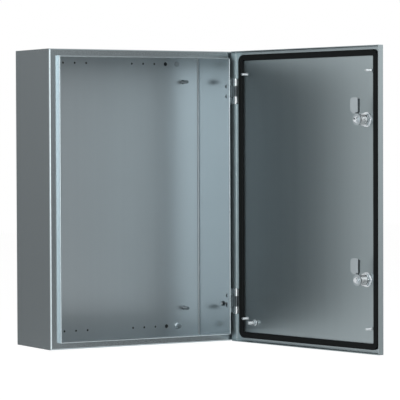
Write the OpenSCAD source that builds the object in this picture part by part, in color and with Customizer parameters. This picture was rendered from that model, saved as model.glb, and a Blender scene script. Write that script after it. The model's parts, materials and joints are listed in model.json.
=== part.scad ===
// Steel wall enclosure with one hinged door, two quarter-turn locks and fixing studs.
// Millimetres. X to the right, Z up, the front faces -Y, the back face lies on Y = 0.

/* [Body] */
// Outside width of the body
body_w = 500; // [300:10:800]
// Outside height of the body
body_h = 700; // [500:10:1200]
// Overall depth with the door shut
overall_d = 200; // [150:5:400]
// Sheet thickness
sheet = 1.5; // [1:0.1:2.5]
// Outside radius of every bend
bend_r = 3; // [2.6:0.1:5]
// Width of the front flange on the two sides
flange_side = 21; // [18:0.5:30]
// Height of the front flange at top and bottom
flange_end = 16; // [14:0.5:30]
// How far the sealing lip stands in front of the flange
lip_h = 11; // [8:0.5:12]
// Thickness of the folded sealing lip
lip_t = 3; // [2.5:0.1:4]

/* [Rear wall] */
// Distance of the hole rows from the top and bottom edge
row_inset = 26; // [20:1:60]
// Spacing between neighbouring holes in a row
row_step = 31.25; // [25:0.25:35]
// Diameter of the small row holes
small_d = 5.6; // [3:0.1:8]
// Diameter of the wall fixing holes
fix_d = 10; // [7:0.5:14]
// Diameter of the outermost holes, which plugs and bolts close
spare_d = 8.4; // [6:0.1:10]
// Distance between mounting plate studs, across
plate_x = 410; // [200:5:440]
// Distance between mounting plate studs, upright
plate_z = 560; // [300:5:600]
// Thread size of the mounting plate studs
plate_stud_d = 8; // [6:1:10]
// Length of the mounting plate studs
plate_stud_l = 22; // [12:1:40]

/* [Door] */
// Depth of the door tray
door_t = 16.5; // [15.5:0.5:20]
// Gap between the door rim and the front flange
door_gap = 2; // [1.5:0.1:3]
// How far the door stands open at rest
door_open = 101; // [0:1:118]
// Width of the foam gasket
gasket_w = 14; // [10:0.5:16]
// How far the middle of the gasket stands outside the middle of the lip
gasket_shift = 1.5; // [0:0.1:3]
// Clearance between the gasket and the lip when shut
gasket_clear = 0.3; // [0.2:0.1:1]
// Distance of the corner studs from the side edges of the door
dstud_x = 40; // [36:1:50]
// Distance of the corner studs from the top and bottom edge
dstud_z = 56.5; // [45:0.5:90]
// Thread size of the door studs
dstud_d = 6; // [4:1:8]
// Length of the door studs
dstud_l = 17; // [10:1:30]
// Distance of the door earth stud from the hinge side
dearth_x = 68; // [56:1:100]
// Distance of the door earth stud from the bottom edge
dearth_z = 48; // [36:1:56]
// Thread size of the door earth stud
dearth_d = 8; // [6:1:10]
// Length of the door earth stud
dearth_l = 25; // [18:1:40]

/* [Hinges] */
// Distance of the hinge middle from the top and bottom edge
hinge_in = 96; // [80:1:160]
// Length of one hinge
hinge_l = 57; // [40:1:80]
// Hinge axis measured in from the side of the body
axis_in = 6; // [5.8:0.1:6.2]
// Hinge axis measured in front of the flange
axis_out = 12; // [11.8:0.1:12.2]
// Diameter of the hinge pin
pin_d = 3.2; // [2.5:0.1:3.6]
// Outside diameter of the hinge knuckles
knuckle_d = 6; // [5.6:0.1:6.4]
// Thickness of the fixed leaf on the side wall
leaf_t = 2.5; // [1.5:0.1:4]
// Thickness of the hinge arm
arm_t = 2.2; // [1.6:0.1:2.4]
// Spacing of the two nuts of a hinge
hnut_step = 24; // [20:1:34]
// Distance of the hinge nuts behind the front flange
hnut_in = 25; // [22:1:40]
// Thread size of the hinge nuts and of the body earth stud
hnut_d = 6; // [5:1:8]
// Length of the body earth stud
bearth_l = 19; // [16:1:30]
// Radial clearance of the pin in the knuckles
pin_clear = 0.05; // [0.02:0.01:0.1]

/* [Locks] */
// Distance of each lock above and below the middle
lock_z = 182; // [100:1:230]
// Distance of the locks from the opening edge of the door
lock_in = 53; // [50:0.5:60]
// Diameter of the threaded lock housing
lock_d = 22; // [20:0.5:24]
// Diameter of the turning core
core_d = 12; // [10:0.5:13]
// Across flats of the lock nut
lock_af = 27; // [26:1:30]
// Height of the lock nut
lock_nut_h = 7.4; // [5:0.1:10]
// Clearance between the turned cam and the side wall
cam_gap = 1.5; // [1.2:0.1:4]
// Diameter of the cam hub
hub_d = 26; // [22:1:28]
// Width of the cam arm
cam_w = 24; // [16:0.5:26]
// Distance from the door skin to the near side of the cam hub
cam_off = 29.5; // [27:0.5:36]
// How far the end of the cam stands off the plane of its hub
cam_step = 8.5; // [6:0.5:12]
// Depth of the folded edge of the cam
cam_fold = 7; // [4:0.5:8]
// Thickness of the cam
cam_t = 2.5; // [2:0.1:3]

/* [Hidden] */
$fn = 64;
eps = 0.01;
hw = body_w / 2;
hh = body_h / 2;
body_d = overall_d - door_t - door_gap;
y_fl = -body_d;
y_rim = -(body_d + door_gap);
y_out = -overall_d;
y_skin = y_out + sheet;
ax_x = hw - axis_in;
ax_y = y_fl - axis_out;
gasket_t = door_t + door_gap - sheet - lip_h - gasket_clear;
lip_r = lip_t / 2 - 0.1;
mouth_w = body_w - 2 * (flange_side + lip_t);
mouth_h = body_h - 2 * (flange_end + lip_t);
gasket_ox = flange_side + lip_t / 2 - gasket_w / 2 - gasket_shift;
gasket_oz = flange_end + lip_t / 2 - gasket_w / 2 - gasket_shift;
hz = hh - hinge_in;
knuckle_r = knuckle_d / 2;
knuckle_l = hinge_l * 0.46;
arm_l = knuckle_l - 0.8;
arm_x = ax_x - arm_t / 2 - 0.1;
leaf_x = hw - sheet - leaf_t;
washer_t = 1.4;
lobe_r = hnut_d + 2;
bearth_y = y_fl + hnut_in + lobe_r + hnut_d / 2 + 2;
bearth_z = -hz - 8;
row_z = hh - row_inset;
lock_x = -hw + lock_in;
y_hub = y_skin + cam_off;
y_tab = y_hub + cam_step;
cam_reach = lock_in - sheet - cam_gap;
cam_neck = 10;
tab_z0 = 16.5;
row_n = [2, 3, 4];
fix_n = 5;
spare_n = 6;

// ---- shared shapes ---------------------------------------------------------

// Turns flat work drawn in X and Z so that it stands upright, grown from y0 to y1.
module upright(y0, y1) {
  translate([0, y1, 0])
    rotate([90, 0, 0])
      linear_extrude(height = y1 - y0)
        children();
}

// A bar along +Y from y0 to y1.
module bar(d, y0, y1) {
  translate([0, y0, 0])
    rotate([-90, 0, 0])
      cylinder(d = d, h = y1 - y0);
}

// A true hexagon prism along +Y, across flats af.
module hexbar(af, y0, y1) {
  translate([0, y0, 0])
    rotate([-90, 0, 0])
      cylinder(d = af / cos(30), h = y1 - y0, $fn = 6);
}

module round_rect(w, h, r) {
  square([w - 2 * r, h], center = true);
  square([w, h - 2 * r], center = true);
  for (x = [-1, 1], z = [-1, 1])
    translate([x * (w / 2 - r), z * (h / 2 - r)])
      circle(r = r);
}

// Flat profile of a block, w wide, from y0 back to y1, its two front corners rounded.
module front_round(w, y0, y1, r) {
  translate([-w / 2, y0 + r])
    square([w, y1 - y0 - r]);
  translate([-w / 2 + r, y0])
    square([w - 2 * r, y1 - y0]);
  for (x = [-1, 1])
    translate([x * (w / 2 - r), y0 + r])
      circle(r = r);
}

// Flat profile of an opening, w wide, whose two front corners flare out by r.
module front_flare(w, y0, y1, r) {
  translate([-w / 2, y0 - 1])
    square([w, y1 - y0 + 1]);
  difference() {
    translate([-w / 2 - r, y0 - 1])
      square([w + 2 * r, r + 1]);
    for (x = [-1, 1])
      translate([x * (w / 2 + r), y0 + r])
        circle(r = r);
  }
}

// The room shared by one profile run up the height and another run across the width.
module crossed(w, h) {
  intersection() {
    translate([0, 0, -h / 2])
      linear_extrude(height = h)
        children(0);
    translate([-w / 2, 0, 0])
      rotate([0, 90, 0])
        linear_extrude(height = w)
          children(1);
  }
}

// A block with its four front edges bent round.
module bent_block(w, h, y0, y1, r) {
  crossed(w, h) {
    front_round(w, y0, y1, r);
    front_round(h, y0, y1, r);
  }
}

// A tray of sheet, open at the back, with bent front edges.
module tray(w, h, y0, y1) {
  difference() {
    bent_block(w, h, y0, y1, bend_r);
    bent_block(w - 2 * sheet, h - 2 * sheet, y0 + sheet, y1 + 1, bend_r - sheet);
  }
}

// Puts closed-door work into its open position.
module opened() {
  translate([ax_x, ax_y, 0])
    rotate([0, 0, door_open])
      translate([-ax_x, -ax_y, 0])
        children();
}

// ---- body ------------------------------------------------------------------

// Side, top and bottom walls with the front flange and the folded sealing lip round the mouth.
module body_wrap() {
  y_lip = y_fl - lip_h;
  color([0.72, 0.73, 0.75])
    difference() {
      union() {
        tray(body_w, body_h, y_fl, -sheet);
        bent_block(mouth_w + 2 * lip_t, mouth_h + 2 * lip_t, y_lip, y_fl + sheet, lip_r);
      }
      crossed(mouth_w + 2 * lip_r, mouth_h + 2 * lip_r) {
        front_flare(mouth_w, y_lip, y_fl + sheet + 1, lip_r);
        front_flare(mouth_h, y_lip, y_fl + sheet + 1, lip_r);
      }
      // slots that let the hinge arms through the right flange
      for (s = [-1, 1])
        translate([arm_x - arm_t / 2 - 0.5, y_fl - 1, s * hz - hinge_l / 2])
          cube([arm_t + 1, sheet + 2, hinge_l]);
    }
}

module rear_panel() {
  color([0.70, 0.71, 0.73])
    upright(-sheet, 0)
      difference() {
        square([body_w, body_h], center = true);
        for (x = [-1, 1], z = [-1, 1]) {
          for (i = row_n)
            translate([x * i * row_step, z * row_z])
              circle(d = small_d);
          translate([x * fix_n * row_step, z * row_z])
            circle(d = fix_d);
          translate([x * spare_n * row_step, z * row_z])
            circle(d = spare_d);
        }
      }
}

// Welded studs for a mounting plate, each with its weld collar.
module plate_studs() {
  color([0.66, 0.67, 0.69])
    for (x = [-1, 1], z = [-1, 1])
      translate([x * plate_x / 2, 0, z * plate_z / 2]) {
        bar(plate_stud_d, -sheet - plate_stud_l, -sheet);
        bar(plate_stud_d + 3, -sheet - 1.2, -sheet);
      }
}

// Rubber plugs that close the two spare upper holes.
module rear_plugs() {
  color([0.12, 0.12, 0.13])
    for (x = [-1, 1])
      translate([x * spare_n * row_step, 0, row_z]) {
        bar(spare_d, -sheet, 0);
        difference() {
          bar(spare_d + 4.6, -sheet - 2, -sheet);
          bar(spare_d - 0.4, -sheet - 2.5, -sheet - 0.8);
        }
      }
}

// Hexagon bolts in the two lower holes.
module rear_bolts() {
  color([0.75, 0.76, 0.78])
    for (x = [-1, 1])
      translate([x * spare_n * row_step, 0, -row_z]) {
        bar(spare_d, -sheet, 0);
        bar(spare_d * 2, -sheet - 1.6, -sheet);
        hexbar(spare_d * 1.55, -sheet - 7, -sheet - 1.6);
      }
}

// Puts work drawn on the +Y axis on the inside of the right wall, pointing inward.
module on_wall(x, y, z) {
  translate([x, y, z])
    rotate([0, 0, 90])
      children();
}

// Earth stud on the right wall beside the lower hinge, with its weld collar.
module body_earth_stud() {
  color([0.78, 0.78, 0.79])
    on_wall(hw - sheet, bearth_y, bearth_z) {
      bar(hnut_d, 0, bearth_l);
      bar(hnut_d + 3, 0, 1.2);
    }
}

module body_earth_nut() {
  color([0.82, 0.80, 0.72])
    on_wall(hw - sheet, bearth_y, bearth_z)
      difference() {
        union() {
          bar(hnut_d * 2, bearth_l - 8, bearth_l - 8 + washer_t);
          hexbar(hnut_d * 5 / 3, bearth_l - 8 + washer_t, bearth_l - 2);
        }
        bar(hnut_d, bearth_l - 9, bearth_l - 1);
      }
}

// ---- hinges ----------------------------------------------------------------

// Fixed leaf: a plate with two round lobes inside the right wall, and an arm to the axis.
module hinge_body_leaf(s) {
  y0 = y_fl + bend_r;
  color([0.60, 0.61, 0.63])
    translate([0, 0, s * hz])
      difference() {
        union() {
          translate([leaf_x, y0, -hinge_l / 2])
            cube([leaf_t, hnut_in - bend_r - lobe_r / 2, hinge_l]);
          for (e = [-1, 1])
            on_wall(hw - sheet, y_fl + hnut_in, e * hnut_step / 2)
              bar(2 * lobe_r, 0, leaf_t);
          translate([arm_x - arm_t / 2, y0, -arm_l / 2])
            cube([leaf_x - arm_x + arm_t / 2 + eps, arm_t, arm_l]);
          translate([arm_x - arm_t / 2, ax_y, -arm_l / 2])
            cube([arm_t, axis_out + bend_r + arm_t, arm_l]);
          translate([ax_x, ax_y, -arm_l / 2])
            cylinder(r = knuckle_r, h = arm_l);
        }
        translate([ax_x, ax_y, -hinge_l])
          cylinder(d = pin_d + 2 * pin_clear, h = 2 * hinge_l);
      }
}

// Moving leaf: a strip on the door skin with an eye at each end.
module hinge_door_leaf(s) {
  eye_l = (hinge_l - knuckle_l) / 2;
  color([0.80, 0.81, 0.83])
    opened()
      translate([0, 0, s * hz])
        difference() {
          union() {
            translate([ax_x - 3.2, y_skin, -hinge_l / 2])
              cube([4.7, 1.5, hinge_l]);
            for (e = [-1, 1]) {
              translate([ax_x, ax_y, e * (hinge_l / 2 - eye_l / 2) - eye_l / 2])
                cylinder(r = knuckle_r, h = eye_l);
              translate([ax_x - knuckle_r, y_skin, e * (hinge_l / 2 - eye_l / 2) - eye_l / 2])
                cube([2 * knuckle_r, ax_y - y_skin, eye_l]);
            }
          }
          translate([ax_x, ax_y, -hinge_l])
            cylinder(d = pin_d + 2 * pin_clear, h = 2 * hinge_l);
        }
}

module hinge_pin(s) {
  color([0.85, 0.86, 0.88])
    translate([ax_x, ax_y, s * hz]) {
      translate([0, 0, -hinge_l / 2])
        cylinder(d = pin_d, h = hinge_l + 0.4);
      translate([0, 0, hinge_l / 2 + 0.4])
        cylinder(d = pin_d + 1.8, h = 1.2);
    }
}

// Two flange nuts on welded studs hold the fixed leaf to the wall.
module hinge_nuts(s) {
  color([0.82, 0.80, 0.72])
    for (e = [-1, 1])
      on_wall(leaf_x, y_fl + hnut_in, s * hz + e * hnut_step / 2) {
        bar(hnut_d * 2, 0, washer_t);
        hexbar(hnut_d * 5 / 3, washer_t, washer_t + hnut_d * 0.8);
        bar(hnut_d, washer_t + hnut_d * 0.8, washer_t + hnut_d * 0.8 + 2.5);
      }
}

// ---- door ------------------------------------------------------------------

module door_panel() {
  color([0.74, 0.75, 0.77])
    opened()
      difference() {
        tray(body_w, body_h, y_out, y_rim);
        // the rim is cut away where the two hinges stand
        for (s = [-1, 1])
          translate([hw - bend_r - 1, y_skin, s * hz - hinge_l / 2 - 2])
            cube([bend_r + 2, door_t, hinge_l + 4]);
        // round holes for the two locks
        for (s = [-1, 1])
          translate([lock_x, 0, s * lock_z])
            bar(lock_d + 0.5, y_out - 1, y_skin + 1);
      }
}

module door_gasket() {
  color([0.05, 0.05, 0.06])
    opened()
      upright(y_skin, y_skin + gasket_t)
        difference() {
          round_rect(body_w - 2 * gasket_ox, body_h - 2 * gasket_oz, 17);
          round_rect(body_w - 2 * gasket_ox - 2 * gasket_w, body_h - 2 * gasket_oz - 2 * gasket_w, 3.5);
        }
}

module door_studs() {
  color([0.78, 0.78, 0.79])
    opened()
      for (x = [-1, 1], z = [-1, 1])
        translate([x * (hw - dstud_x), 0, z * (hh - dstud_z)]) {
          bar(dstud_d, y_skin, y_skin + dstud_l);
          bar(dstud_d + 3, y_skin, y_skin + 1.2);
        }
}

module door_earth_stud() {
  color([0.78, 0.78, 0.79])
    opened()
      translate([hw - dearth_x, 0, -hh + dearth_z]) {
        bar(dearth_d, y_skin, y_skin + dearth_l);
        bar(dearth_d + 3, y_skin, y_skin + 1.2);
      }
}

// Nut with its washer low on the door earth stud.
module door_earth_nut() {
  color([0.82, 0.80, 0.72])
    opened()
      translate([hw - dearth_x, 0, -hh + dearth_z])
        difference() {
          union() {
            bar(dearth_d * 2, y_skin + 1.2, y_skin + 2.8);
            hexbar(dearth_d * 13 / 8, y_skin + 2.8, y_skin + 2.8 + dearth_d * 0.8);
          }
          bar(dearth_d, y_skin + 1, y_skin + 3 + dearth_d);
        }
}

// ---- locks -----------------------------------------------------------------

module at_lock(s) {
  opened()
    translate([lock_x, 0, s * lock_z])
      children();
}

// Threaded housing through the skin with a flange outside.
module lock_housing(s) {
  color([0.78, 0.79, 0.80])
    at_lock(s)
      difference() {
        union() {
          bar(lock_d + 8, y_out - 3, y_out - 1);
          bar(lock_d, y_out - 1, y_hub - 1.5);
        }
        bar(core_d + 4, y_out - 4, y_skin - 2);
        bar(core_d + 0.2, y_out - 4, y_hub);
      }
}

module lock_seal(s) {
  color([0.08, 0.08, 0.08])
    at_lock(s)
      difference() {
        bar(lock_d + 6, y_out - 1, y_out);
        bar(lock_d + 0.1, y_out - 2, y_out + 1);
      }
}

// Large hexagon nut with its washer on the inside of the skin.
module lock_nut(s) {
  color([0.86, 0.87, 0.88])
    at_lock(s)
      difference() {
        union() {
          bar(lock_af + 7, y_skin, y_skin + 1.6);
          hexbar(lock_af, y_skin + 1.6, y_skin + 1.6 + lock_nut_h);
        }
        bar(lock_d, y_skin - 1, y_skin + 2 + lock_nut_h);
      }
}

// Turning core: two-winged key socket outside, square shank for the cam inside.
module lock_rotor(s) {
  color([0.62, 0.63, 0.65])
    at_lock(s)
      difference() {
        union() {
          bar(core_d + 0.1, y_out - 1.5, y_hub - 0.6);
          translate([-4, y_hub - 0.6, -4])
            cube([8, cam_t + 0.6, 8]);
        }
        difference() {
          bar(8, y_out - 2, y_out + 8);
          bar(5, y_out - 3, y_out + 9);
        }
      }
}

// Outline of the cam tab, seen from inside the cabinet, its arm pointing up.
module tab_outline() {
  r_free = 3;
  r_far = 8;
  difference() {
    union() {
      translate([-cam_w / 2, tab_z0])
        square([cam_w, cam_reach - tab_z0 - r_far]);
      translate([-cam_w / 2 + r_free, tab_z0])
        square([cam_w - r_free - r_far, cam_reach - tab_z0]);
      translate([-cam_w / 2 + r_free, cam_reach - r_free])
        circle(r = r_free);
      translate([-cam_w / 2, cam_reach - r_far - eps])
        square([r_free + eps, r_far - r_free]);
      translate([cam_w / 2 - r_far, cam_reach - r_far])
        circle(r = r_far);
    }
    // the lower corner away from the folded edge is rounded off
    translate([cam_w / 2 - r_far, tab_z0])
      difference() {
        translate([0, -1])
          square([r_far + 1, r_far + 1]);
        translate([0, r_far])
          circle(r = r_far);
      }
  }
}

// Cam: round hub, a neck that steps off the hub plane, and a wide tab with a folded edge.
module lock_cam(s) {
  color([0.84, 0.85, 0.86])
    at_lock(s)
      difference() {
        union() {
          bar(hub_d, y_hub, y_hub + cam_t);
          translate([-cam_neck / 2, y_hub, 0])
            cube([cam_neck, cam_t, tab_z0]);
          translate([-cam_neck / 2, y_hub, tab_z0 - cam_t])
            cube([cam_neck, cam_step + cam_t, cam_t + 1]);
          upright(y_tab, y_tab + cam_t)
            tab_outline();
          translate([-cam_w / 2, y_tab + cam_t - cam_fold, tab_z0])
            cube([cam_t, cam_fold, cam_reach - tab_z0 - 3]);
        }
        translate([-4, y_hub - 1, -4])
          cube([8, cam_t + 2, 8]);
      }
}

module cam_screw(s) {
  y0 = y_hub + cam_t;
  color([0.80, 0.80, 0.80])
    at_lock(s) {
      bar(14, y0, y0 + 1.4);
      hexbar(10, y0 + 1.4, y0 + 5.6);
    }
}

// ---- pieces ----------------------------------------------------------------

body_wrap();
rear_panel();
plate_studs();
rear_plugs();
rear_bolts();
body_earth_stud();
body_earth_nut();
hinge_body_leaf(1);  // hinge_body_leaf_upper
hinge_body_leaf(-1);  // hinge_body_leaf_lower
hinge_door_leaf(1);  // hinge_door_leaf_upper
hinge_door_leaf(-1);  // hinge_door_leaf_lower
hinge_pin(1);  // hinge_pin_upper
hinge_pin(-1);  // hinge_pin_lower
hinge_nuts(1);  // hinge_nuts_upper
hinge_nuts(-1);  // hinge_nuts_lower
door_panel();
door_gasket();
door_studs();
door_earth_stud();
door_earth_nut();
lock_housing(1);  // lock_housing_upper
lock_seal(1);  // lock_seal_upper
lock_nut(1);  // lock_nut_upper
lock_rotor(1);  // lock_rotor_upper
lock_cam(1);  // lock_cam_upper
cam_screw(1);  // cam_screw_upper
lock_housing(-1);  // lock_housing_lower
lock_seal(-1);  // lock_seal_lower
lock_nut(-1);  // lock_nut_lower
lock_rotor(-1);  // lock_rotor_lower
lock_cam(-1);  // lock_cam_lower
cam_screw(-1);  // cam_screw_lower
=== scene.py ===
import json
import math

import bmesh
import bpy
from mathutils import Matrix, Vector


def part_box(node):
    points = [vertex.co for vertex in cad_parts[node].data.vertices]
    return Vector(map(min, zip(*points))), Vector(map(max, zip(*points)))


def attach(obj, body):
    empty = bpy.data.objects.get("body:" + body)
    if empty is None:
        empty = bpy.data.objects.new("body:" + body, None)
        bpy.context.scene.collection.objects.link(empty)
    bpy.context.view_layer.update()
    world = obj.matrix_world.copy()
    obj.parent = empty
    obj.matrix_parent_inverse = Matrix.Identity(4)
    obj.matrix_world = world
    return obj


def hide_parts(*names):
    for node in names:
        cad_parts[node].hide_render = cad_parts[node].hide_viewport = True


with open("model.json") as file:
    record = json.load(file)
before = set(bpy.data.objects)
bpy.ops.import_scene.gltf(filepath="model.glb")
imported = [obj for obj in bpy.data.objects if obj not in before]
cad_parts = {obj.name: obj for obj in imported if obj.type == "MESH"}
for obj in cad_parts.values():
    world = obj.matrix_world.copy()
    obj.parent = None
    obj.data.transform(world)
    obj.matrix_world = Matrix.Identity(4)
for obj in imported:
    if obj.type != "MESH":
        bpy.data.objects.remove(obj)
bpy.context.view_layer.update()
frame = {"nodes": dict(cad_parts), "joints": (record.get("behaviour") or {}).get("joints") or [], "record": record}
nodes = frame["nodes"]
mounts = {mount["name"]: mount for mount in frame["record"]["mounts"]}
joints = {joint["name"]: joint for joint in frame["joints"]}


# Camera: stands at the front left of the cabinet, a little above its middle,
# with a long lens, and looks almost level at the open box.
camera_data = bpy.data.cameras.new("camera")
camera_data.lens = 205.75
camera_data.sensor_width = 36.0
camera_data.clip_end = 60.0
camera = bpy.data.objects.new("camera", camera_data)
bpy.context.scene.collection.objects.link(camera)
yaw = math.radians(29.694)
pitch = math.radians(1.58)
roll = math.radians(-0.218)
forward = Vector((math.sin(yaw) * math.cos(pitch), math.cos(yaw) * math.cos(pitch), -math.sin(pitch)))
level = Vector((math.cos(yaw), -math.sin(yaw), 0.0))
upward = level.cross(forward)
side = level * math.cos(roll) + upward * math.sin(roll)
top = upward * math.cos(roll) - level * math.sin(roll)
turn = Matrix((side, top, -forward)).transposed().to_4x4()
camera_place = (-2.5692, -4.9498, 0.1440)
camera.matrix_world = Matrix.Translation(camera_place) @ turn
bpy.context.scene.camera = camera


# Studio: a pale floor well below the hung cabinet and plain soft light all round.
# The background is white where the camera, or a mirror-like surface, looks at it.
scene = bpy.context.scene
scene.view_settings.view_transform = "Standard"


def tone(code):
    """sRGB hex to linear red, green, blue, alpha."""
    parts = [int(code[i:i + 2], 16) / 255 for i in (1, 3, 5)]
    return tuple(c / 12.92 if c <= 0.04045 else ((c + 0.055) / 1.055) ** 2.4 for c in parts) + (1.0,)


def add(tree, kind, settings=None, links=None):
    """Adds one node, sets its properties and unlinked sockets, and links the rest."""
    made = tree.nodes.new(kind)
    for key, value in (settings or {}).items():
        if isinstance(key, str) and hasattr(made, key):
            setattr(made, key, value)
        else:
            made.inputs[key].default_value = value
    for key, source in (links or {}).items():
        tree.links.new(source, made.inputs[key])
    return made


def blank(name):
    """A new material with an empty node tree and its output."""
    material = bpy.data.materials.new(name)
    material.use_nodes = True
    material.node_tree.nodes.clear()
    return material, material.node_tree, add(material.node_tree, "ShaderNodeOutputMaterial")


def backdrop_rays(tree):
    """1 where a ray comes from the camera, a mirror-like surface or glass, and 0 elsewhere."""
    rays = add(tree, "ShaderNodeLightPath").outputs
    seen = {0: rays["Is Camera Ray"], 1: rays["Is Glossy Ray"]}
    mirrored = add(tree, "ShaderNodeMath", {"operation": "MAXIMUM"}, seen)
    any_ray = {0: mirrored.outputs[0], 1: rays["Is Transmission Ray"]}
    return add(tree, "ShaderNodeMath", {"operation": "MAXIMUM"}, any_ray).outputs[0]


# The fill lights everything evenly. The lift is the floor's own glow, which brings the
# floor up to white for the camera and in reflections.
fill_level = 0.55
floor_lift = 0.55
floor_height = -1.0
world = bpy.data.worlds.new("studio")
scene.world = world
world.use_nodes = True
sky = world.node_tree
sky.nodes.clear()
fill = add(sky, "ShaderNodeBackground", {"Color": (1, 1, 1, 1), "Strength": fill_level})
white = add(sky, "ShaderNodeBackground", {"Color": (1, 1, 1, 1), "Strength": 1.0})
either = add(sky, "ShaderNodeMixShader", {}, {0: backdrop_rays(sky), 1: fill.outputs[0], 2: white.outputs[0]})
add(sky, "ShaderNodeOutputWorld", {}, {"Surface": either.outputs[0]})

floor_material, floor_tree, floor_out = blank("pale floor paint")
floor_paint = add(floor_tree, "ShaderNodeBsdfDiffuse", {"Color": tone("#E6E6E6")})
floor_glow = add(floor_tree, "ShaderNodeEmission", {"Color": (1, 1, 1, 1), "Strength": floor_lift})
floor_sum = add(floor_tree, "ShaderNodeAddShader", {}, {0: floor_paint.outputs[0], 1: floor_glow.outputs[0]})
floor_looks = {0: backdrop_rays(floor_tree), 1: floor_paint.outputs[0], 2: floor_sum.outputs[0]}
floor_either = add(floor_tree, "ShaderNodeMixShader", {}, floor_looks)
floor_tree.links.new(floor_either.outputs[0], floor_out.inputs["Surface"])
shape = bmesh.new()
below = Matrix.Translation((0, 0, floor_height))
bmesh.ops.create_grid(shape, x_segments=1, y_segments=1, size=20.0, matrix=below)
floor_mesh = bpy.data.meshes.new("floor")
shape.to_mesh(floor_mesh)
shape.free()
floor_mesh.materials.append(floor_material)
floor = bpy.data.objects.new("floor", floor_mesh)
scene.collection.objects.link(floor)


card_low = floor_height
card_high = 4.0
card_distance = 4.0


def card(name, heading, width, strength, lean=0.15):
    """A glowing upright studio card that faces the cabinet and that the camera doesn't see.

    The heading is in degrees clockwise from straight behind the cabinet, seen from above.
    The card glows a share "lean" more than its strength at its upper part, and less at its foot.
    """
    material, tree, out = blank(name)
    place = add(tree, "ShaderNodeTexCoord").outputs["Object"]
    height = add(tree, "ShaderNodeSeparateXYZ", {}, {"Vector": place})
    weak = strength * (1 - lean)
    ends = {"From Min": -0.8, "From Max": 0.8, "To Min": weak, "To Max": strength * (1 + lean)}
    level = add(tree, "ShaderNodeMapRange", ends, {"Value": height.outputs["Z"]})
    glow = add(tree, "ShaderNodeEmission", {"Color": (1, 1, 1, 1)}, {"Strength": level.outputs[0]})
    tree.links.new(glow.outputs[0], out.inputs["Surface"])
    turn = math.radians(heading)
    middle_height = (card_low + card_high) / 2
    middle = Vector((card_distance * math.sin(turn), card_distance * math.cos(turn), middle_height))
    shape = bmesh.new()
    bmesh.ops.create_grid(shape, x_segments=1, y_segments=1, size=0.5)
    bmesh.ops.scale(shape, vec=(width, card_high - card_low, 1.0), verts=shape.verts)
    upright = Matrix.Rotation(math.radians(90), 4, "X")
    stand = Matrix.Translation(middle) @ Matrix.Rotation(-turn, 4, "Z") @ upright
    bmesh.ops.transform(shape, matrix=stand, verts=shape.verts)
    mesh = bpy.data.meshes.new(name)
    shape.to_mesh(mesh)
    shape.free()
    mesh.materials.append(material)
    board = bpy.data.objects.new(name, mesh)
    scene.collection.objects.link(board)
    board.visible_camera = False
    return board


# Grey card at the back left: shows in the left wall. Beyond it a paler card serves the door.
card("grey card", -26.0, 2.6, 0.33)
card("pale card", -59.0, 2.3, 1.33)
# Side card: a bright line along the front left bend and the folded lip.
card("edge card", 240.0, 0.9, 2.3)
# Bright card at the camera's side: lights the inside of the hinge-side wall.
card("bright card", 203.0, 1.5, 5.1, 0.32)
# Middle card straight in front: lights the rear wall by way of the door.
card("front card", 181.0, 1.5, 1.9, 0.4)
# Grey card at the front right: shows in the rear wall and the front flange.
card("flange card", 150.0, 1.9, 0.27, 0.6)
# Card at the right: shows in the outer rim of the open door.
card("rim card", 124.0, 1.7, 1.3, 0.6)


# Painted shade: a dark sheet just behind the rear panel, so that its open holes look dark from
# the front, as if in shadow. From behind it is clear, and reflections don't meet it.
patch_material, patch_tree, patch_out = blank("painted shade sheet behind holes")
patch_side = add(patch_tree, "ShaderNodeNewGeometry")
# The sheet's dark colour is painted shade seen through the holes.
patch_dark = add(patch_tree, "ShaderNodeBsdfDiffuse", {"Color": tone("#1C2022")})
patch_clear = add(patch_tree, "ShaderNodeBsdfTransparent")
patch_looks = {0: patch_side.outputs["Backfacing"], 1: patch_dark.outputs[0], 2: patch_clear.outputs[0]}
patch_either = add(patch_tree, "ShaderNodeMixShader", {}, patch_looks)
patch_tree.links.new(patch_either.outputs[0], patch_out.inputs["Surface"])
back_low, back_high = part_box("rear_panel")
shape = bmesh.new()
bmesh.ops.create_grid(shape, x_segments=1, y_segments=1, size=0.5)
patch_size = (0.9 * (back_high[0] - back_low[0]), 0.97 * (back_high[2] - back_low[2]), 1.0)
bmesh.ops.scale(shape, vec=patch_size, verts=shape.verts)
stand = Matrix.Translation((0.0, back_high[1] + 0.003, 0.0)) @ Matrix.Rotation(math.radians(90), 4, "X")
bmesh.ops.transform(shape, matrix=stand, verts=shape.verts)
patch_mesh = bpy.data.meshes.new("painted shade sheet behind holes")
shape.to_mesh(patch_mesh)
shape.free()
patch_mesh.materials.append(patch_material)
patch = bpy.data.objects.new("painted shade sheet behind holes", patch_mesh)
scene.collection.objects.link(patch)
patch.visible_glossy = False
patch.visible_diffuse = False


# Body: stainless sheet, ground with a belt so that fine lines run up and down,
# folded from one strip and welded to a flat rear panel of the same sheet.
# The lines are about 1 mm wide, coarser than real grinding, so that they show. The scales
# are per metre: lines 1 mm wide and 110 mm long, bands 17 mm wide and longer than a wall.
line_scale = (900.0, 900.0, 9.0)
band_scale = (60.0, 60.0, 0.8)


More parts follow.
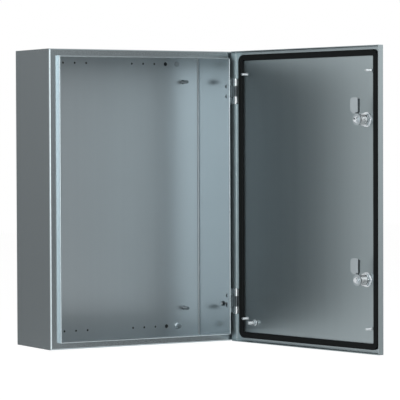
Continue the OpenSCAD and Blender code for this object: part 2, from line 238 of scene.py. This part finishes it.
def ground_stainless(name, colour, rough):
    """Belt-ground stainless sheet: satin, with fine upright lines and faint uneven bands."""
    material, tree, out = blank(name)
    place = add(tree, "ShaderNodeTexCoord").outputs["Object"]
    stretch = add(tree, "ShaderNodeMapping", {"Scale": line_scale}, {"Vector": place})
    fine = {"Scale": 1.0, "Detail": 3.0, "Roughness": 0.65}
    lines = add(tree, "ShaderNodeTexNoise", fine, {"Vector": stretch.outputs[0]})
    wide = add(tree, "ShaderNodeMapping", {"Scale": band_scale}, {"Vector": place})
    broad = {"Scale": 1.0, "Detail": 2.0, "Roughness": 0.5}
    bands = add(tree, "ShaderNodeTexNoise", broad, {"Vector": wide.outputs[0]})
    both = add(tree, "ShaderNodeMath", {"operation": "MULTIPLY_ADD", 1: 0.55}, {0: lines.outputs["Fac"]})
    tree.links.new(bands.outputs["Fac"], both.inputs[2])
    dark = tuple(0.985 * c for c in tone(colour)[:3]) + (1.0,)
    pale = tuple(1.015 * c for c in tone(colour)[:3]) + (1.0,)
    spread = add(tree, "ShaderNodeMapRange", {"From Min": 0.45, "From Max": 1.1}, {"Value": both.outputs[0]})
    shade = add(tree, "ShaderNodeMix", {"data_type": "RGBA"}, {"Factor": spread.outputs[0]})
    shade.inputs[6].default_value = dark
    shade.inputs[7].default_value = pale
    reach = {"To Min": rough - 0.006, "To Max": rough + 0.008}
    gloss = add(tree, "ShaderNodeMapRange", reach, {"Value": spread.outputs[0]})
    varied = {"Base Color": shade.outputs[2], "Roughness": gloss.outputs[0]}
    steel = add(tree, "ShaderNodeBsdfPrincipled", {"Metallic": 1.0}, varied)
    tree.links.new(steel.outputs[0], out.inputs["Surface"])
    return material


body_steel = ground_stainless("ground stainless sheet", "#9CA6AA", 0.22)


def finish_node(name, material):
    """Gives a carried-over solid its material."""
    mesh = nodes[name].data
    mesh.materials.clear()
    mesh.materials.append(material)


finish_node("body_wrap", body_steel)
# Rear panel: the same sheet, rougher, and a darker tone than the walls, which is painted shade.
rear_sheet_painted_shade = ground_stainless("ground stainless rear sheet with painted shade", "#929A9E", 0.38)
finish_node("rear_panel", rear_sheet_painted_shade)


# Door: the same ground sheet, folded into a shallow tray. Its finish is a little duller
# than the walls', so what it mirrors is softer, and its tone is darker, which is painted shade.
door_sheet_painted_shade = ground_stainless("ground stainless door with painted shade", "#8D979A", 0.33)
finish_node("door_panel", door_sheet_painted_shade)


# Nuts, bolts and cams: pressed or turned steel with slightly rounded edges. The zinc is
# bright on the locks and the door's earth nut. On the rear bolts it is satin and a darker tone,
# which is painted shade. On the hinge nuts and the body's earth nut it is dull and painted dark,
# which is painted shade round their rims. The cams have no bright plating.
def plain_metal(name, colour, rough):
    """Plated or bare smooth metal with slight handling marks about 4 mm across."""
    material, tree, out = blank(name)
    place = add(tree, "ShaderNodeTexCoord").outputs["Object"]
    handling = {"Scale": 260.0, "Detail": 4.0, "Roughness": 0.6}
    marks = add(tree, "ShaderNodeTexNoise", handling, {"Vector": place})
    dark = tuple(0.88 * c for c in tone(colour)[:3]) + (1.0,)
    shade = add(tree, "ShaderNodeMix", {"data_type": "RGBA"}, {"Factor": marks.outputs["Fac"]})
    shade.inputs[6].default_value = dark
    shade.inputs[7].default_value = tone(colour)
    reach = {"To Min": rough - 0.05, "To Max": rough + 0.08}
    gloss = add(tree, "ShaderNodeMapRange", reach, {"Value": marks.outputs["Fac"]})
    varied = {"Base Color": shade.outputs[2], "Roughness": gloss.outputs[0]}
    metal = add(tree, "ShaderNodeBsdfPrincipled", {"Metallic": 1.0}, varied)
    tree.links.new(metal.outputs[0], out.inputs["Surface"])
    return material


zinc = plain_metal("bright zinc plate", "#C4C9CC", 0.14)
cam_steel = plain_metal("satin cam steel", "#A3ABAF", 0.3)
# Dark zinc: dull, and its dark colour is painted shade.
dull_zinc_painted_shade = plain_metal("dull zinc plate with painted shade", "#565D60", 0.3)
# Rear bolt zinc: satin, and its darker tone is painted shade.
satin_zinc_painted_shade = plain_metal("satin zinc plate with painted shade", "#9EA5A8", 0.22)
weld_reach = 0.000002
nut_edge = 0.0004
cam_edge = 0.0005


def eased(name, width, steps=2):
    """Rounds the sharp edges of a carried-over solid by that width, in metres."""
    weld = nodes[name].modifiers.new("joined corners", "WELD")
    weld.merge_threshold = weld_reach
    soft = nodes[name].modifiers.new("eased edges", "BEVEL")
    soft.width = width
    soft.segments = steps
    soft.limit_method = "ANGLE"
    soft.angle_limit = math.radians(35)


for name, plating in (("rear_bolts", satin_zinc_painted_shade), ("body_earth_nut", dull_zinc_painted_shade), ("door_earth_nut", zinc)):
    finish_node(name, plating)
    eased(name, nut_edge)
for place in ("upper", "lower"):
    for name, plating in (("lock_nut_", zinc), ("cam_screw_", zinc), ("hinge_nuts_", dull_zinc_painted_shade)):
        finish_node(name + place, plating)
        eased(name + place, nut_edge)
    finish_node("lock_cam_" + place, cam_steel)
    eased("lock_cam_" + place, cam_edge, 3)


# Studs: bare steel screws with a rolled thread, welded to the sheet, each in a low collar
# of weld metal. Those for the mounting plate are duller than those on the door, and painted
# much darker, which is painted shade.
stud_steel = plain_metal("bare stud steel", "#A4ABAE", 0.32)
# The plate studs' dark colour is painted shade.
plate_stud_painted_shade = plain_metal("dull stud steel with painted shade", "#5E666A", 0.45)
# Each thread is its outer diameter and its pitch, in metres.
thread_m6 = (0.006, 0.001)
thread_m8 = (0.008, 0.00125)
rolled_depth = 0.61
collar_height = 0.0012
collar_width = 0.0015


def outward(shape):
    """Turns all faces of a closed bmesh so that they point outwards."""
    bmesh.ops.recalc_face_normals(shape, faces=shape.faces)
    if shape.calc_volume(signed=True) < 0:
        bmesh.ops.reverse_faces(shape, faces=shape.faces)
    return shape


def threaded_bar(size, pitch, low, high, depth=rolled_depth, steps=20, bore=0.0):
    """A bmesh of a screw thread round the Z axis, cut square at both heights, solid or with a bore.

    The depth is a share of the pitch, and the steps are those of one turn.
    """
    shape = bmesh.new()
    root = size / 2 - depth * pitch
    heights = (low - 2 * pitch, low - 1.5 * pitch, low - pitch)
    ridge = [shape.verts.new((r, 0, z)) for r, z in zip((root, size / 2, root), heights)]
    sides = [shape.edges.new(ridge[:2]), shape.edges.new(ridge[1:])]
    turns = math.ceil((high - low) / pitch) + 4
    bmesh.ops.spin(shape, geom=ridge + sides, cent=(0, 0, 0), axis=(0, 0, 1), dvec=(0, 0, pitch / steps),
                   angle=turns * math.tau, steps=turns * steps, use_merge=False)
    bmesh.ops.remove_doubles(shape, verts=shape.verts, dist=weld_reach)
    for height, way in ((low, -1), (high, 1)):
        every = shape.verts[:] + shape.edges[:] + shape.faces[:]
        bmesh.ops.bisect_plane(shape, geom=every, plane_co=(0, 0, height), plane_no=(0, 0, way),
                               clear_outer=True)
    if bore:
        inside = Matrix.Translation((0, 0, (low + high) / 2))
        bmesh.ops.create_cone(shape, segments=steps, radius1=bore / 2, radius2=bore / 2, depth=high - low,
                              cap_ends=False, matrix=inside)
        for height in (low, high):
            rim = [e for e in shape.edges if e.is_boundary and abs(e.verts[0].co.z - height) < 0.00001]
            bmesh.ops.bridge_loops(shape, edges=rim)
    bmesh.ops.holes_fill(shape, edges=[e for e in shape.edges if e.is_boundary], sides=0)
    return outward(shape)


def turned(profile, steps=32):
    """A bmesh of a solid turned round the Z axis from (radius, height) points that start and end on it."""
    shape = bmesh.new()
    points = [shape.verts.new((r, 0, z)) for r, z in profile]
    lines = [shape.edges.new(pair) for pair in zip(points, points[1:])]
    bmesh.ops.spin(shape, geom=points + lines, cent=(0, 0, 0), axis=(0, 0, 1), angle=math.tau, steps=steps,
                   use_merge=True)
    bmesh.ops.remove_doubles(shape, verts=shape.verts, dist=weld_reach)
    return outward(shape)


def piece(name, parts, material, body, slot, *stands_for):
    """Joins bmeshes, each with its place and direction, into one finished object."""
    mesh = bpy.data.meshes.new(name)
    whole = bmesh.new()
    for part, start, along in parts:
        turn = Vector(along).to_track_quat("Z", "Y").to_matrix().to_4x4()
        bmesh.ops.transform(part, matrix=Matrix.Translation(start) @ turn, verts=part.verts)
        part.to_mesh(mesh)
        part.free()
        whole.from_mesh(mesh)
    whole.to_mesh(mesh)
    whole.free()
    mesh.materials.append(material)
    made = bpy.data.objects.new(name, mesh)
    scene.collection.objects.link(made)
    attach(made, body)
    if stands_for:
        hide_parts(*stands_for)
    return made


def welded_stud(start, along, thread, length):
    """Thread and weld collar of one stud that stands on the sheet at the start."""
    radius = thread[0] / 2
    foot = radius + collar_width
    slope = ((foot, 0), (foot - 0.0001, 0.0005), (foot - 0.0006, 0.001))
    bead = turned(((0, 0), *slope, (radius, collar_height), (0, collar_height)))
    return [(bead, start, along), (threaded_bar(*thread, collar_height, length), start, along)]


sheet = 0.0015
plate_stud_length = 0.022
plate_mount = mounts["plate_studs"]
plate_x = plate_mount["dims"]["spacing_x_mm"] / 2000
plate_z = plate_mount["dims"]["spacing_y_mm"] / 2000
parts = []
for x in (-plate_x, plate_x):
    for z in (-plate_z, plate_z):
        parts += welded_stud((x, -sheet, z), (0, -1, 0), thread_m8, plate_stud_length)
piece("threaded_plate_studs", parts, plate_stud_painted_shade, "enclosure", "stud_steel", "plate_studs")

# Corner welds: a bead of weld metal up each back corner, where the wrap meets the rear panel.
bead_size = 0.0022
bead_step = 0.0035
bead_ripple = 0.0003
wrap_low, wrap_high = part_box("body_wrap")
bead_reach = wrap_high[2] - 2 * sheet
ripples = math.ceil(2 * bead_reach / bead_step)
profile = [(0, -bead_reach)]
for count in range(ripples + 1):
    height = min(count * bead_step, 2 * bead_reach) - bead_reach
    profile.append((bead_size - bead_ripple * (count % 2), height))
profile.append((0, bead_reach))
parts = []
for x in (wrap_low[0] + sheet + bead_size / 2, wrap_high[0] - sheet - bead_size / 2):
    parts.append((turned(profile, 12), (x, -sheet - bead_size / 2, 0), (0, 0, 1)))
piece("corner_welds", parts, rear_sheet_painted_shade, "enclosure", "stainless_body")

# Door studs: four plain ones and one for earthing. The places that the record gives are on
# each stud, 10 mm or 18 mm in from the skin that carries it.
inward = Vector(joints["cam_turn_upper"]["axis"])
door_stud_length = 0.017
door_stud_rise = 0.01
parts = []
for name in ("far_top", "far_bottom", "hinge_top", "hinge_bottom"):
    foot = Vector(mounts["door_stud_" + name]["pos_m"]) - door_stud_rise * inward
    parts += welded_stud(foot, inward, thread_m6, door_stud_length)
piece("threaded_door_studs", parts, stud_steel, "door", "stud_steel", "door_studs")

door_earth_length = 0.025
door_earth_rise = 0.018
foot = Vector(mounts["door_earth"]["pos_m"]) - door_earth_rise * inward
piece("threaded_door_earth_stud", welded_stud(foot, inward, thread_m8, door_earth_length), stud_steel,
      "door", "stud_steel", "door_earth_stud")

# Body earth stud: stands on the hinge-side wall and points across the box.
body_earth_length = 0.019
wall_foot = Vector(mounts["body_earth"]["pos_m"])
wall_foot.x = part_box("body_earth_stud")[1][0]
body_earth = welded_stud(wall_foot, (-1, 0, 0), thread_m6, body_earth_length)
piece("threaded_body_earth_stud", body_earth, stud_steel, "enclosure", "stud_steel", "body_earth_stud")


# Hinges: bent steel leaves and a turned, plated pin, plain and smooth. The door's leaves
# are bright. The body's leaves, which carry the arms, are dull and painted dark: painted shade
# of the gap between the body's lip and the hinge.
hinge_steel = plain_metal("smooth hinge steel", "#C4C9CB", 0.36)
# The body leaves' dark colour is painted shade.
arm_steel_painted_shade = plain_metal("hinge steel with painted shade", "#4A5053", 0.4)
for place in ("upper", "lower"):
    finish_node("hinge_pin_" + place, zinc)
    finish_node("hinge_door_leaf_" + place, hinge_steel)
    finish_node("hinge_body_leaf_" + place, arm_steel_painted_shade)


# Locks: die-cast housings, nickel plated, with a fine thread that carries the big nut,
# and a turning core that carries the cam. The thread is a sleeve round the housing.
nickel = plain_metal("satin nickel casting", "#8E9395", 0.2)
lock_size = 0.022
lock_pitch = 0.0015
lock_thread_proud = 0.0004
lock_thread_depth = 0.35
lock_thread_span = (0.0092, 0.0276)
lock_bore = lock_size - 0.001
pivot_rise = 0.01
for place in ("upper", "lower"):
    finish_node("lock_housing_" + place, nickel)
    finish_node("lock_rotor_" + place, nickel)
    joint = joints["cam_turn_" + place]
    skin = Vector(joint["pos_m"]) - pivot_rise * inward
    ridge = threaded_bar(lock_size + 2 * lock_thread_proud, lock_pitch, *lock_thread_span,
                         depth=lock_thread_depth, steps=40, bore=lock_bore)
    piece("lock_thread_" + place, [(ridge, skin, inward)], nickel, "door", "nickel")


# Gasket and lock seals: near-black closed-cell foam. The gasket is poured on the door's
# skin in one strip with round edges. The cells are drawn about 1 mm wide, coarser than real.
def soft_rubber(name, colour, grain, rough, shine):
    """Foamed or moulded rubber: matt, with an even grain, given as a scale per metre."""
    material, tree, out = blank(name)
    place = add(tree, "ShaderNodeTexCoord").outputs["Object"]
    texture = {"Scale": grain, "Detail": 3.0, "Roughness": 0.6}
    cells = add(tree, "ShaderNodeTexNoise", texture, {"Vector": place})
    pits = {"Strength": 0.3, "Distance": 0.0004}
    relief = add(tree, "ShaderNodeBump", pits, {"Height": cells.outputs["Fac"]})
    shade = add(tree, "ShaderNodeMix", {"data_type": "RGBA"}, {"Factor": cells.outputs["Fac"]})
    shade.inputs[6].default_value = tuple(0.8 * c for c in tone(colour)[:3]) + (1.0,)
    shade.inputs[7].default_value = tuple(1.2 * c for c in tone(colour)[:3]) + (1.0,)
    matt = {"Roughness": rough, "Specular IOR Level": shine}
    varied = {"Base Color": shade.outputs[2], "Normal": relief.outputs[0]}
    rubber = add(tree, "ShaderNodeBsdfPrincipled", matt, varied)
    tree.links.new(rubber.outputs[0], out.inputs["Surface"])
    return material


gasket_edge = 0.0022
foam = soft_rubber("closed-cell foam", "#06090A", 900.0, 0.85, 0.15)
finish_node("door_gasket", foam)
eased("door_gasket", gasket_edge, 4)
for place in ("upper", "lower"):
    finish_node("lock_seal_" + place, foam)

# Plugs: soft moulded caps pressed into the two spare upper holes, grey like the sheet.
plug_edge = 0.0003
plug_grey = soft_rubber("moulded grey cap", "#737D82", 500.0, 0.5, 0.4)
finish_node("rear_plugs", plug_grey)
eased("rear_plugs", plug_edge)
